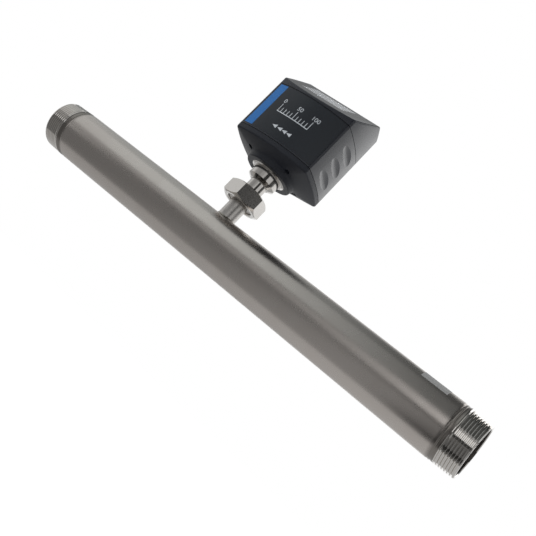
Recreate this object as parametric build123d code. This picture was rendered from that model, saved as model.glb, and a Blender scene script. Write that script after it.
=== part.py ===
from build123d import *
import math
import os

# Inline thermal flow meter: a threaded measuring pipe with a screw-in sensor head.
# The pipe lies along X and the gas flows towards -X. The sensor shaft is the Z axis.
# The origin is where the two axes cross. The labelled face looks towards -Y. Millimetres.

# Measuring pipe
pipe_outer_d = 48.3
pipe_wall = 3.2
inlet_length = 275.0
outlet_length = 200.0

# Taper thread on both ends, as a cylinder over its crests at the gauge plane
thread_length = 18.6
thread_gauge_step = 0.2485
runout_width = 2.4
runout_depth = 1.1
mouth_chamfer = 0.6

# Welded socket that takes the sensor head; heights count from the pipe's axis
socket_height = 49.2
socket_bore_d = 14.1
socket_wall = 1.55
socket_head_height = 6.8
union_thread_d = 26.44
thread_relief = 0.8
weld_leg = 1.0

# Union nut
nut_across_flats = 35.0
nut_height = 15.2
nut_lip = 3.1
nut_face_inset = 0.9
nut_chamfer_deg = 30.0
nut_turn_deg = -24.3
thread_clearance = 0.1
shank_clearance = 0.1
seat_gap = 0.3

# Sensor shank, one turned piece from the guard to the lock nut
shank_d = 17.2
shank_free_length = 10.5
shoulder_step = 1.4
shoulder_thickness = 3.1
spigot_clearance = 0.1
spigot_length = 22.5
probe_d = 12.0
probe_end = 12.0
shank_bore_d = 8.0
shank_thread_d = 16.0
shank_thread_stand = 5.4

# O-ring on the spigot
seal_section_d = 1.8
seal_drop = 5.5
seal_groove_width = 2.3
seal_clearance = 0.05

# Pin that keys the head to the flow direction
key_pin_d = 2.0
key_pin_depth = 5.0
key_pin_stand = 2.0
key_pin_clearance = 0.2

# Guard tube and the two sensing elements
guard_bottom = -8.0
guard_wall = 1.0
guard_floor = 1.6
guard_pilot_length = 3.0
guard_drain_d = 4.0
guard_window_width = 7.0
guard_window_top = 7.5
guard_window_bottom = -5.0
element_d = 2.6
element_spacing = 4.2
element_bottom = -3.0
header_thickness = 5.0

# Collar and disc under the housing
collar_d = 28.4
collar_height = 10.7
collar_chamfer_height = 2.5
collar_chamfer_width = 4.2
disc_d = 36.6
disc_thickness = 2.6
disc_chamfer_width = 2.2
disc_chamfer_height = 0.8
disc_stand = 0.5
disc_clearance = 0.1
base_seal_thickness = 0.8
base_seal_width = 3.0
base_floor_thickness = 5.0
lock_nut_across_flats = 24.0
lock_nut_thickness = 5.0

# Housing plan: corners, and how far each side bows out between them
half_width = 40.4
half_depth = 29.2
side_bow = 2.6
front_bow = 6.8
corner_radius = 3.2
corner_radius_inside = 0.8
housing_wall = 2.6

# Housing heights, each from the one before
boss_d = 48.8
boss_draft = 0.8
boss_height = 5.3
hopper_rise = 5.8
lip_height = 5.1
body_height = 50.8
hood_front_height = 7.3
hood_crest_height = 34.4
crest_y = 9.7
back_fall = 4.0
hopper_edge_radius = 1.6
boss_rim_radius = 1.2
boss_root_radius = 2.5
hood_edge_radius = 1.4

# Seams
seam_gap = 0.5
seam_inset = 0.9
gasket_width = 1.3
tongue_height = 3.2
tongue_thickness = 1.4
tongue_clearance = 0.1

# Grip dimples on both sides
dimple_count = 3
dimple_pitch = 15.0
dimple_rise = 9.9
dimple_length = 40.0
dimple_height = 10.4
dimple_depth = 1.5
dimple_shift = 1.3

# Front label film
label_side_inset = 1.9
label_bottom_inset = 1.8
label_top_inset = 0.6
label_recess = 0.3
label_thickness = 0.25
label_margin = 0.15

# Housing screws and the posts they enter
post_x = 21.5
post_y = 18.6
post_d = 8.4
post_joint_rise = 4.3
post_rise = 16.1
rib_thickness = 2.4
screw_seat_rise = 6.6
screw_hole_clearance = 0.2
screw_head_clearance = 0.3
housing_screw_d = 2.5
housing_screw_length = 13.0
screw_head_d = 4.5
screw_head_height = 2.0
cross_length_share = 0.6
cross_width_share = 0.15

# Main board
board_thickness = 1.6
main_board_width = 60.0
main_board_depth = 46.0
board_screw_d = 2.5
board_screw_length = 5.0
board_screw_head_d = 4.6
board_screw_head_height = 1.8

# Display, laid out on the sloping face
panel_side_border = 5.4
panel_end_border = 4.2
panel_thickness = 0.6
panel_radius = 3.0
window_left_border = 7.5
window_right_border = 15.5
window_end_border = 5.0
window_radius = 1.5
window_margin = 0.05
window_ledge = 1.5
module_overlap = 1.5
module_thickness = 4.0
display_board_gap = 2.8
display_board_border = 3.7
display_post_d = 5.0
display_post_inset = 3.2
display_screw_grip = 3.0

# M12 connectors on the back
connector_x = 15.0
connector_rise = 33.1
connector_flange_d = 17.0
connector_flange_thickness = 3.0
connector_thread_d = 12.0
connector_thread_length = 8.5
connector_wall = 1.2
connector_body_length = 9.0
connector_insert_stand = 2.0
connector_nut_flats = 15.0
connector_nut_thickness = 3.0
connector_seal_d = 1.2
contact_d = 1.0
contact_circle_d = 5.2
contact_count = 4
contact_stand = 5.4
pad_border = 2.0
pad_stand = 0.8
pad_inner_offset = 1.0

# How near an edge lies to a height to count as being at it
level_tolerance = 0.05

# Derived sizes and places of the pipe and its union
pipe_outer_r = pipe_outer_d / 2
pipe_inner_r = pipe_outer_r - pipe_wall
thread_r = pipe_outer_r - thread_gauge_step
socket_bore_r = socket_bore_d / 2
socket_neck_r = socket_bore_r + socket_wall
union_thread_r = union_thread_d / 2
shoulder_r = union_thread_r - shoulder_step
shoulder_bottom = socket_height + seat_gap
shoulder_top = shoulder_bottom + shoulder_thickness
nut_ledge = shoulder_top + seat_gap
nut_top = nut_ledge + nut_lip
nut_bottom = nut_top - nut_height
key_pin_place = (socket_bore_r + shoulder_r) / 2

# Derived sizes and places of the shank and the sensor
shank_r = shank_d / 2
shank_bore_r = shank_bore_d / 2
shank_thread_r = shank_thread_d / 2
spigot_r = socket_bore_r - spigot_clearance
spigot_end = shoulder_bottom - spigot_length
seal_z = shoulder_bottom - seal_drop
seal_centre_r = socket_bore_r - seal_clearance - seal_section_d / 2
probe_r = probe_d / 2
guard_bore_r = probe_r - guard_wall
header_bottom = probe_end - guard_pilot_length
header_top = header_bottom + header_thickness
element_places = (-element_spacing / 2, element_spacing / 2)

# Derived heights from the collar up to the crest
collar_bottom = nut_top + shank_free_length
disc_bottom = collar_bottom + collar_height
disc_top = disc_bottom + disc_thickness
base_recess_z = disc_top + base_seal_thickness
base_floor_z = base_recess_z + base_floor_thickness
shank_top = base_floor_z + lock_nut_thickness + shank_thread_stand
boss_bottom = disc_bottom + disc_stand
boss_root_z = boss_bottom + boss_height
boss_root_r = boss_d / 2 + boss_draft
hopper_edge_z = boss_root_z + hopper_rise
lower_seam_z = hopper_edge_z + lip_height
upper_seam_z = lower_seam_z + body_height
lower_gap_top = lower_seam_z + seam_gap / 2
lower_gap_bottom = lower_seam_z - seam_gap / 2
upper_gap_top = upper_seam_z + seam_gap / 2
upper_gap_bottom = upper_seam_z - seam_gap / 2
front_top_z = upper_seam_z + hood_front_height
crest_z = upper_seam_z + hood_crest_height

# Derived places on the slope, from its middle
slope_run = crest_y + half_depth
slope_rise = crest_z - front_top_z
slope_length = math.hypot(slope_run, slope_rise)
slope_angle = math.atan2(slope_rise, slope_run)
back_angle = math.atan2(back_fall, half_depth - crest_y)
panel_width = 2 * (half_width - panel_side_border)
panel_height = slope_length - 2 * panel_end_border
window_width = panel_width - window_left_border - window_right_border
window_height = panel_height - 2 * window_end_border
window_offset = (window_left_border - window_right_border) / 2
display_board_width = 2 * (half_width - housing_wall - display_board_gap)
display_board_height = slope_length - 2 * display_board_border
display_board_depth = housing_wall + module_thickness
display_post_x = display_board_width / 2 - display_post_inset
display_post_y = display_board_height / 2 - display_post_inset
display_post_places = [
    (a, b) for a in (-display_post_x, display_post_x) for b in (-display_post_y, display_post_y)
]

# Derived places of the posts, screws and connectors
post_joint_z = lower_seam_z + post_joint_rise
post_top = lower_seam_z + post_rise
screw_seat_z = base_floor_z + screw_seat_rise
screw_end_z = screw_seat_z + housing_screw_length
post_places = [(x, y) for x in (-post_x, post_x) for y in (-post_y, post_y)]
connector_places = (-connector_x, connector_x)
connector_z = lower_seam_z + connector_rise
connector_bore_r = connector_thread_d / 2 - connector_wall
pad_r = connector_flange_d / 2 + pad_border
pad_face_y = half_depth + front_bow + pad_stand
pad_inner_y = half_depth + pad_inner_offset
connector_start_y = pad_inner_y - connector_body_length
connector_flange_y = pad_face_y + connector_flange_thickness
connector_end_y = connector_flange_y + connector_thread_length


def cylinder(radius, bottom, top, x=0.0, y=0.0):
    """A solid cylinder about a vertical axis, between two heights."""
    return Pos(x, y, bottom) * Cylinder(
        radius, top - bottom, align=(Align.CENTER, Align.CENTER, Align.MIN)
    )


def cylinder_y(radius, start, end, x, z):
    """A solid cylinder that runs along +Y from one depth to another."""
    return Pos(x, start, z) * Rot(-90, 0, 0) * Cylinder(
        radius, end - start, align=(Align.CENTER, Align.CENTER, Align.MIN)
    )


def turned(points):
    """A piece turned about the Z axis from a closed outline of (radius, height) points."""
    outline = Plane.XZ * make_face(Polyline(*points, close=True))
    return revolve(outline, Axis.Z)


def hexagon(across_flats, bottom, top, turn=0.0):
    """A six-sided prism about the Z axis."""
    shape = RegularPolygon(across_flats / 2, 6, major_radius=False)
    return Pos(0, 0, bottom) * Rot(0, 0, turn) * extrude(shape, top - bottom)


def housing_plan(inset=0.0):
    """The housing's outline from above: four bowed sides and rounded corners."""
    w = half_width - inset
    d = half_depth - inset
    sides = [
        ThreePointArc((-w, -d), (0, -d - front_bow), (w, -d)),
        ThreePointArc((w, -d), (w + side_bow, 0), (w, d)),
        ThreePointArc((w, d), (0, d + front_bow), (-w, d)),
        ThreePointArc((-w, d), (-w - side_bow, 0), (-w, -d)),
    ]
    outline = make_face(sides)
    return fillet(outline.vertices(), max(corner_radius - inset, corner_radius_inside))


def housing_prism(inset, bottom, top):
    """A straight length of the housing's outline."""
    return Pos(0, 0, bottom) * extrude(housing_plan(inset), top - bottom)


def roof_space(inset, bottom):
    """Everything below the display slope and the back slope, moved in by a wall."""
    reach = 2 * half_depth
    front_tan = math.tan(slope_angle)
    back_tan = math.tan(back_angle)
    front_crest_z = crest_z - inset / math.cos(slope_angle)
    back_crest_z = crest_z - inset / math.cos(back_angle)
    ridge = (back_crest_z - front_crest_z) / (front_tan + back_tan)
    outline = [
        (-reach, bottom),
        (reach, bottom),
        (reach, back_crest_z - (reach - crest_y) * back_tan),
        (crest_y + ridge, front_crest_z + ridge * front_tan),
        (-reach, front_crest_z - (reach + crest_y) * front_tan),
    ]
    section = Plane.YZ * make_face(Polyline(*outline, close=True))
    return extrude(section, 2 * half_width, both=True)


def slope_plane(depth=0.0):
    """A plane in the display slope: X to the right, Y up the slope, Z out of the face."""
    middle = Vector(0, crest_y - slope_run / 2, crest_z - slope_rise / 2)
    out = Vector(0, -math.sin(slope_angle), math.cos(slope_angle))
    return Plane(origin=middle - out * depth, x_dir=(1, 0, 0), z_dir=out)


def slope_plate(width, height, radius, top_depth, thickness, offset=0.0):
    """A plate with rounded corners that lies in the display slope."""
    shape = RectangleRounded(width, height, radius)
    return slope_plane(top_depth + thickness) * Pos(offset, 0, 0) * extrude(shape, thickness)


def pipe_end(length):
    """One end's outline, from the bore's edge to the plain tube, for an end on +X."""
    groove_r = pipe_outer_r - runout_depth
    shoulder = length - thread_length - runout_width
    return [
        (length - mouth_chamfer, pipe_inner_r),
        (length, pipe_inner_r + mouth_chamfer),
        (length, thread_r),
        (shoulder + runout_width, thread_r),
        (shoulder + runout_width / 2, groove_r),
        (shoulder, pipe_outer_r),
    ]


def measuring_pipe():
    outlet = [(-x, r) for x, r in pipe_end(outlet_length)]
    outline = pipe_end(inlet_length) + outlet[::-1]
    wall = revolve(Plane.XZ * make_face(Polyline(*outline, close=True)), Axis.X)
    return wall - cylinder(socket_bore_r, 0, pipe_outer_d)


def weld_socket():
    head_bottom = socket_height - socket_head_height
    outline = [
        (socket_bore_r, 0),
        (socket_neck_r + weld_leg, 0),
        (socket_neck_r + weld_leg, pipe_outer_r - weld_leg / 2),
        (socket_neck_r, pipe_outer_r + weld_leg),
        (socket_neck_r, head_bottom),
        (union_thread_r - thread_relief, head_bottom),
        (union_thread_r, head_bottom + thread_relief),
        (union_thread_r, socket_height - thread_relief),
        (union_thread_r - thread_relief, socket_height),
        (socket_bore_r, socket_height),
    ]
    run = Rot(0, 90, 0) * Cylinder(pipe_outer_r, 2 * pipe_outer_d)
    pin_hole = cylinder(
        key_pin_d / 2, socket_height - key_pin_depth, socket_height, key_pin_place
    )
    return turned(outline) - run - pin_hole


def key_pin():
    bottom = socket_height - key_pin_depth
    top = socket_height + key_pin_stand
    return cylinder(key_pin_d / 2, bottom, top, key_pin_place)


def union_nut():
    corner_r = nut_across_flats / math.sqrt(3)
    face_r = nut_across_flats / 2 - nut_face_inset
    drop = (corner_r - face_r) * math.tan(math.radians(nut_chamfer_deg))
    chamfered = [
        (0, nut_bottom),
        (face_r, nut_bottom),
        (corner_r, nut_bottom + drop),
        (corner_r, nut_top - drop),
        (face_r, nut_top),
        (0, nut_top),
    ]
    thread_r = union_thread_r + thread_clearance
    bored = [
        (0, nut_bottom),
        (thread_r + thread_relief, nut_bottom),
        (thread_r, nut_bottom + thread_relief),
        (thread_r, nut_ledge),
        (shank_r + shank_clearance, nut_ledge),
        (shank_r + shank_clearance, nut_top),
        (0, nut_top),
    ]
    body = hexagon(nut_across_flats, nut_bottom, nut_top, nut_turn_deg)
    return (body & turned(chamfered)) - turned(bored)


def probe_shank():
    groove_r = seal_centre_r - seal_section_d / 2
    outline = [
        (shank_bore_r, header_bottom),
        (guard_bore_r, header_bottom),
        (guard_bore_r, probe_end),
        (probe_r, probe_end),
        (probe_r, spigot_end),
        (spigot_r, spigot_end),
        (spigot_r, seal_z - seal_groove_width / 2),
        (groove_r, seal_z - seal_groove_width / 2),
        (groove_r, seal_z + seal_groove_width / 2),
        (spigot_r, seal_z + seal_groove_width / 2),
        (spigot_r, shoulder_bottom),
        (shoulder_r, shoulder_bottom),
        (shoulder_r, shoulder_top),
        (shank_r, shoulder_top),
        (shank_r, disc_top),
        (shank_thread_r, disc_top),
        (shank_thread_r, shank_top),
        (shank_bore_r, shank_top),
    ]
    key_hole = cylinder(
        key_pin_d / 2 + key_pin_clearance,
        shoulder_bottom,
        socket_height + key_pin_stand + seat_gap,
        key_pin_place,
    )
    return turned(outline) - key_hole


def spigot_seal():
    return Pos(0, 0, seal_z) * Torus(seal_centre_r, seal_section_d / 2)


def guard_tube():
    tube = cylinder(probe_r, guard_bottom, probe_end)
    tube -= cylinder(guard_bore_r, guard_bottom + guard_floor, probe_end)
    tube -= cylinder(guard_drain_d / 2, guard_bottom, guard_bottom + guard_floor)
    window = Pos(0, 0, (guard_window_top + guard_window_bottom) / 2) * Box(
        2 * probe_d, guard_window_width, guard_window_top - guard_window_bottom
    )
    return tube - window


def sensor_header():
    plug = cylinder(shank_bore_r, header_bottom, header_top)
    for y in element_places:
        plug -= cylinder(element_d / 2, header_bottom, header_top, 0, y)
    return plug


def sensing_element(y):
    tip_z = element_bottom + element_d / 2
    stem = cylinder(element_d / 2, tip_z, header_top, 0, y)
    return stem + Pos(0, y, tip_z) * Sphere(element_d / 2)


def chamfered_ring(outer_r, bottom, top, chamfer_width, chamfer_height):
    """A ring on the shank with its lower outside edge bevelled."""
    outline = [
        (shank_r, bottom),
        (outer_r - chamfer_width, bottom),
        (outer_r, bottom + chamfer_height),
        (outer_r, top),
        (shank_r, top),
    ]
    return turned(outline)


def stop_collar():
    return chamfered_ring(
        collar_d / 2, collar_bottom, disc_bottom, collar_chamfer_width, collar_chamfer_height
    )


def base_disc():
    return chamfered_ring(
        disc_d / 2, disc_bottom, disc_top, disc_chamfer_width, disc_chamfer_height
    )


def base_seal():
    ring = cylinder(disc_d / 2, disc_top, base_recess_z)
    return ring - cylinder(disc_d / 2 - base_seal_width, disc_top, base_recess_z)


def lock_nut():
    top = base_floor_z + lock_nut_thickness
    body = hexagon(lock_nut_across_flats, base_floor_z, top)
    return body - cylinder(shank_thread_r, base_floor_z, top)


def hopper(inset, edge_z, root_r, root_z):
    """The shallow funnel from the housing's outline down to a circle."""
    upper = Pos(0, 0, edge_z) * housing_plan(inset)
    lower = Pos(0, 0, root_z) * Circle(root_r)
    return loft([lower.face(), upper.face()], ruled=True)


def housing_ring(outer, inner, bottom, top):
    """A band of the housing's outline between two insets and two heights."""
    return housing_prism(outer, bottom, top) - housing_prism(inner, bottom, top)


def tongue(root_bottom, root_top, tip_bottom, tip_top):
    """The band that stands out of one shell and slips inside the wall of the next."""
    outer = housing_wall + tongue_clearance
    inner = outer + tongue_thickness
    root = housing_ring(housing_wall / 2, inner, root_bottom, root_top)
    return root + housing_ring(outer, inner, tip_bottom, tip_top)


def edges_at(shape, height):
    """The edges whose middle lies at a height."""
    return [e for e in shape.edges() if abs(e.center().Z - height) < level_tolerance]


def base_outside():
    """The lip, the hopper and the round boss, as one solid form with softened edges."""
    lip = housing_prism(0, hopper_edge_z, lower_gap_bottom)
    funnel = hopper(0, hopper_edge_z, boss_root_r, boss_root_z)
    cone = [(0, boss_bottom), (boss_d / 2, boss_bottom), (boss_root_r, boss_root_z)]
    boss = turned(cone + [(0, boss_root_z)])
    form = lip + funnel + boss
    form = fillet(edges_at(form, hopper_edge_z), hopper_edge_radius)
    form = fillet(edges_at(form, boss_bottom), boss_rim_radius)
    return fillet(edges_at(form, boss_root_z), boss_root_radius)


def housing_base():
    shell = base_outside()
    hollow_z = hopper_edge_z + housing_wall
    shell -= housing_prism(housing_wall, hollow_z, lower_gap_bottom)
    shell -= hopper(housing_wall, hollow_z, boss_root_r - housing_wall, base_floor_z)
    root_z = hopper_edge_z + housing_wall / 2
    shell += tongue(root_z, lower_gap_bottom, root_z, lower_gap_bottom + tongue_height)
    for x, y in post_places:
        shell += cylinder(post_d / 2, base_floor_z, post_joint_z, x, y)
    seat_r = screw_head_d / 2 + screw_head_clearance
    hole_r = housing_screw_d / 2 + screw_hole_clearance
    for x, y in post_places:
        shell -= cylinder(seat_r, boss_bottom, screw_seat_z, x, y)
        shell -= cylinder(hole_r, boss_bottom, post_joint_z, x, y)
    shell -= cylinder(disc_d / 2 + disc_clearance, boss_bottom, base_recess_z)
    return shell - cylinder(shank_thread_r, boss_bottom, shank_top)


def gasket(bottom, top):
    return housing_ring(seam_inset, seam_inset + gasket_width, bottom, top)


def dimple(side, z):
    """An oval hollow for the fingers, cut into a bowed side."""
    radius = (dimple_height**2 / 4 + dimple_depth**2) / (2 * dimple_depth)
    stretch = dimple_length / dimple_height
    ball = scale(Sphere(radius), by=(1, stretch, 1))
    face_x = half_width + side_bow
    return Pos(side * (face_x + radius - dimple_depth), dimple_shift, z) * ball


def label_film(top_depth, depth, margin):
    """A skin on the bowed front between two depths, with a margin to the label's edge."""
    bottom = lower_seam_z + label_bottom_inset + margin
    top = upper_seam_z - label_top_inset - margin
    width = 2 * (half_width - label_side_inset - margin)
    front = Pos(0, -half_depth - front_bow / 2, (bottom + top) / 2) * Box(
        width, 2 * front_bow, top - bottom
    )
    return housing_ring(top_depth, depth, bottom, top) & front


def housing_body():
    shell = housing_prism(0, lower_gap_top, upper_gap_bottom)
    shell -= housing_prism(housing_wall, lower_gap_top, upper_gap_bottom)
    for x in connector_places:
        shell += cylinder_y(pad_r, pad_inner_y, pad_face_y, x, connector_z)
    inner = housing_prism(housing_wall / 2, post_joint_z, post_top)
    for x, y in post_places:
        web_y = y + math.copysign(half_depth / 2, y)
        web = Pos(x, web_y, (post_joint_z + post_top) / 2) * Box(
            rib_thickness, half_depth, post_top - post_joint_z
        )
        shell += cylinder(post_d / 2, post_joint_z, post_top, x, y) + (web & inner)
    for x, y in post_places:
        shell -= cylinder(housing_screw_d / 2, post_joint_z, screw_end_z, x, y)
        shell -= cylinder(board_screw_d / 2, screw_end_z, post_top, x, y)
    for side in (-1, 1):
        for row in range(dimple_count):
            shell -= dimple(side, lower_seam_z + dimple_rise + row * dimple_pitch)
    for x in connector_places:
        shell -= cylinder_y(
            connector_thread_d / 2, pad_inner_y, pad_face_y, x, connector_z
        )
    return shell - label_film(0, label_recess, 0)


def front_label():
    return label_film(label_recess - label_thickness, label_recess, label_margin)


def post_cylinder(radius, length):
    """A cylinder that stands on its base."""
    return Cylinder(radius, length, align=(Align.CENTER, Align.CENTER, Align.MIN))


def housing_hood():
    top = crest_z + front_bow
    shell = housing_prism(0, upper_gap_top, top) & roof_space(0, 0)
    rim = [e for e in shell.edges() if e.center().Z > upper_gap_top + level_tolerance]
    rim = [e for e in rim if abs(e.tangent_at(0.5).Z) < 1 - level_tolerance]
    shell = fillet(rim, hood_edge_radius)
    shell -= housing_prism(housing_wall, 0, top) & roof_space(housing_wall, 0)
    root_z = upper_gap_top + housing_wall / 2
    shell += tongue(upper_gap_top, root_z, upper_gap_top - tongue_height, root_z)
    foot = slope_plane(display_board_depth)
    for a, b in display_post_places:
        shell += foot * Pos(a, b, 0) * post_cylinder(display_post_d / 2, module_thickness)
        shell -= foot * Pos(a, b, 0) * post_cylinder(board_screw_d / 2, display_screw_grip)
    shell -= slope_plate(panel_width, panel_height, panel_radius, 0, panel_thickness)
    opening = slope_plate(
        window_width - 2 * window_ledge,
        window_height - 2 * window_ledge,
        window_radius,
        0,
        2 * housing_wall,
        window_offset,
    )
    return shell - opening


def display_panel():
    plate = slope_plate(panel_width, panel_height, panel_radius, 0, panel_thickness)
    return plate - slope_plate(
        window_width, window_height, window_radius, 0, panel_thickness, window_offset
    )


def display_window():
    return slope_plate(
        window_width - 2 * window_margin,
        window_height - 2 * window_margin,
        window_radius,
        0,
        panel_thickness,
        window_offset,
    )


def display_module():
    return slope_plate(
        window_width + 2 * module_overlap,
        window_height + 2 * module_overlap,
        window_radius,
        housing_wall,
        module_thickness,
        window_offset,
    )


def display_board():
    plate = slope_plate(
        display_board_width,
        display_board_height,
        window_radius,
        display_board_depth,
        board_thickness,
    )
    back = slope_plane(display_board_depth + board_thickness)
    for a, b in display_post_places:
        plate -= back * Pos(a, b, 0) * post_cylinder(board_screw_d / 2, board_thickness)
    return plate


def screw(thread_d, length, head_d, head_height):
    """A cross-head screw along Z with its head at the bottom and the thread going up."""
    head = cylinder(head_d / 2, -head_height, 0)
    long_way = head_d * cross_length_share
    short_way = head_d * cross_width_share
    recess = Box(long_way, short_way, head_height) + Box(short_way, long_way, head_height)
    return head + cylinder(thread_d / 2, 0, length) - Pos(0, 0, -head_height) * recess


def display_screws():
    length = board_thickness + display_screw_grip
    body = screw(board_screw_d, length, board_screw_head_d, board_screw_head_height)
    back = slope_plane(display_board_depth + board_thickness)
    return [back * Pos(a, b, 0) * body for a, b in display_post_places]


def main_board():
    plate = Pos(0, 0, post_top + board_thickness / 2) * Box(
        main_board_width, main_board_depth, board_thickness
    )
    for x, y in post_places:
        plate -= cylinder(board_screw_d / 2, post_top, post_top + board_thickness, x, y)
    return plate


def board_screws():
    body = Rot(180, 0, 0) * screw(
        board_screw_d, board_screw_length, board_screw_head_d, board_screw_head_height
    )
    return [Pos(x, y, post_top + board_thickness) * body for x, y in post_places]


def housing_screws():
    body = screw(housing_screw_d, housing_screw_length, screw_head_d, screw_head_height)
    return [Pos(x, y, screw_seat_z) * body for x, y in post_places]


def seal_ring(x):
    """The O-ring that lies half in the connector's flange and half above its pad."""
    ring_r = (connector_thread_d + connector_seal_d) / 2
    return Pos(x, pad_face_y, connector_z) * Rot(90, 0, 0) * Torus(
        ring_r, connector_seal_d / 2
    )


def connector_shell(x):
    thread_r = connector_thread_d / 2
    shell = cylinder_y(
        connector_flange_d / 2, pad_face_y, connector_flange_y, x, connector_z
    )
    shell += cylinder_y(thread_r, connector_start_y, connector_end_y, x, connector_z)
    shell -= cylinder_y(
        connector_bore_r, connector_start_y, connector_end_y, x, connector_z
    )
    return shell - seal_ring(x)


def connector_seal(x):
    flange = cylinder_y(
        connector_flange_d / 2, pad_face_y, connector_flange_y, x, connector_z
    )
    return seal_ring(x) & flange


def contact_places():
    """Where the contacts stand, as offsets from the connector's axis."""
    step = 2 * math.pi / contact_count
    angles = [step * (i + 0.5) for i in range(contact_count)]
    circle_r = contact_circle_d / 2
    return [(circle_r * math.cos(a), circle_r * math.sin(a)) for a in angles]


def connector_insert(x):
    end_y = pad_face_y + connector_insert_stand
    plug = cylinder_y(connector_bore_r, connector_start_y, end_y, x, connector_z)
    for a, b in contact_places():
        plug -= cylinder_y(contact_d / 2, connector_start_y, end_y, x + a, connector_z + b)
    return plug


def connector_contacts(x):
    end_y = pad_face_y + connector_insert_stand + contact_stand
    return [
        cylinder_y(contact_d / 2, connector_start_y, end_y, x + a, connector_z + b)
        for a, b in contact_places()
    ]


def connector_nut(x):
    start_y = pad_inner_y - connector_nut_thickness
    shape = RegularPolygon(connector_nut_flats / 2, 6, major_radius=False)
    body = Pos(x, start_y, connector_z) * Rot(-90, 0, 0) * extrude(
        shape, connector_nut_thickness
    )
    return body - cylinder_y(
        connector_thread_d / 2, start_y, pad_inner_y, x, connector_z
    )


parts = {
    "measuring_pipe": measuring_pipe(),
    "weld_socket": weld_socket(),
    "key_pin": key_pin(),
    "union_nut": union_nut(),
    "probe_shank": probe_shank(),
    "spigot_seal": spigot_seal(),
    "guard_tube": guard_tube(),
    "sensor_header": sensor_header(),
    "heated_element": sensing_element(element_places[0]),
    "reference_element": sensing_element(element_places[1]),
    "stop_collar": stop_collar(),
    "base_disc": base_disc(),
    "base_seal": base_seal(),
    "lock_nut": lock_nut(),
    "housing_base": housing_base(),
    "lower_gasket": gasket(lower_gap_bottom, lower_gap_top),
    "housing_body": housing_body(),
    "upper_gasket": gasket(upper_gap_bottom, upper_gap_top),
    "housing_hood": housing_hood(),
    "front_label": front_label(),
    "display_panel": display_panel(),
    "display_window": display_window(),
    "display_module": display_module(),
    "display_board": display_board(),
    "display_screws": display_screws(),
    "main_board": main_board(),
    "board_screws": board_screws(),
    "housing_screws": housing_screws(),
}
for side, x in zip(("left", "right"), connector_places):
    parts["connector_shell_" + side] = connector_shell(x)
    parts["connector_seal_" + side] = connector_seal(x)
    parts["connector_insert_" + side] = connector_insert(x)
    parts["connector_contacts_" + side] = connector_contacts(x)
    parts["connector_nut_" + side] = connector_nut(x)

os.makedirs("parts", exist_ok=True)
for name, shape in parts.items():
    solids = shape if isinstance(shape, list) else shape.solids()
    export_step(Compound(children=list(solids)), "parts/" + name + ".step")
    print(name, len(list(solids)))
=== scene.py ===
import math
import bmesh
import bpy
from mathutils import Euler, Matrix, Vector


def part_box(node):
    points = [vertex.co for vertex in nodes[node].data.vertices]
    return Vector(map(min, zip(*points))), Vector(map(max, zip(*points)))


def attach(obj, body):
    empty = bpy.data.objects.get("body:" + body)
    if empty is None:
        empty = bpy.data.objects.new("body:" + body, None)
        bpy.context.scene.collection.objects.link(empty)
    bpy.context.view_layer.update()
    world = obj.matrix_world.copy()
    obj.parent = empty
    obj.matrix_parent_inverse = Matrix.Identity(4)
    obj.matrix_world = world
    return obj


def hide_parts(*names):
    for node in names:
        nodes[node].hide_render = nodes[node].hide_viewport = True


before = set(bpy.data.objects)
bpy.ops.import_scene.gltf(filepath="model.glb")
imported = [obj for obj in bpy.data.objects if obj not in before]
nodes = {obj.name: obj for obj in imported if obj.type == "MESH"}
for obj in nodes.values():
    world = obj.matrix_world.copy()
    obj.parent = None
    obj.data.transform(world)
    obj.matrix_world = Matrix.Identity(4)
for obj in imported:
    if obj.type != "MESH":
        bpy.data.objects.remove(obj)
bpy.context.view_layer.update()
mm = 0.001
print("frame loaded,", len(nodes), "nodes")


def nodeBox(name):
    # a CAD node's lowest and highest corners, in millimetres
    return [[round(c / mm, 3) for c in corner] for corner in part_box(name)]


def addObject(name, data):
    made = bpy.data.objects.new(name, data)
    bpy.context.scene.collection.objects.link(made)
    return made


def toLinear(hexColour):
    # sRGB hex as a colour picker shows it, turned to the linear values Cycles works in
    parts = [int(hexColour[i:i + 2], 16) / 255 for i in (1, 3, 5)]
    return [p / 12.92 if p <= 0.04045 else ((p + 0.055) / 1.055) ** 2.4 for p in parts] + [1.0]


def addNode(tree, kind, settings, links=None):
    # a setting is an option of the node if it has one of that name, and otherwise a socket
    made = tree.nodes.new(kind)
    for key, value in settings.items():
        if isinstance(key, str) and hasattr(made, key):
            setattr(made, key, value)
        else:
            made.inputs[key].default_value = value
    for key, source in (links or {}).items():
        tree.links.new(source, made.inputs[key])
    return made


def newMaterial(name):
    material = bpy.data.materials.new(name)
    material.use_nodes = True
    material.node_tree.nodes.clear()
    return material, material.node_tree


def newFinish(name, values):
    # a Principled surface with its plain values, and object coordinates counted in millimetres
    finish, tree = newMaterial(name)
    surface = addNode(tree, "ShaderNodeBsdfPrincipled", {
        "Base Color": toLinear(values["colour"]),
        "Metallic": values.get("metallic", 0.0),
        "Roughness": values["roughness"],
    })
    if "ior" in values:
        surface.inputs["IOR"].default_value = values["ior"]
    addNode(tree, "ShaderNodeOutputMaterial", {}, {"Surface": surface.outputs["BSDF"]})
    coords = addNode(tree, "ShaderNodeTexCoord", {})
    inMm = addNode(tree, "ShaderNodeVectorMath", {"operation": "SCALE", "Scale": 1 / mm},
                   {0: coords.outputs["Object"]})
    return finish, tree, surface, inMm.outputs["Vector"]


# Sizes and depths of all patterns are in millimetres. A stretch multiplies the place along X,
# Y and Z, so that a small number draws the marks out that way

pipeLow, pipeHigh = nodeBox("measuring_pipe")
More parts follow.
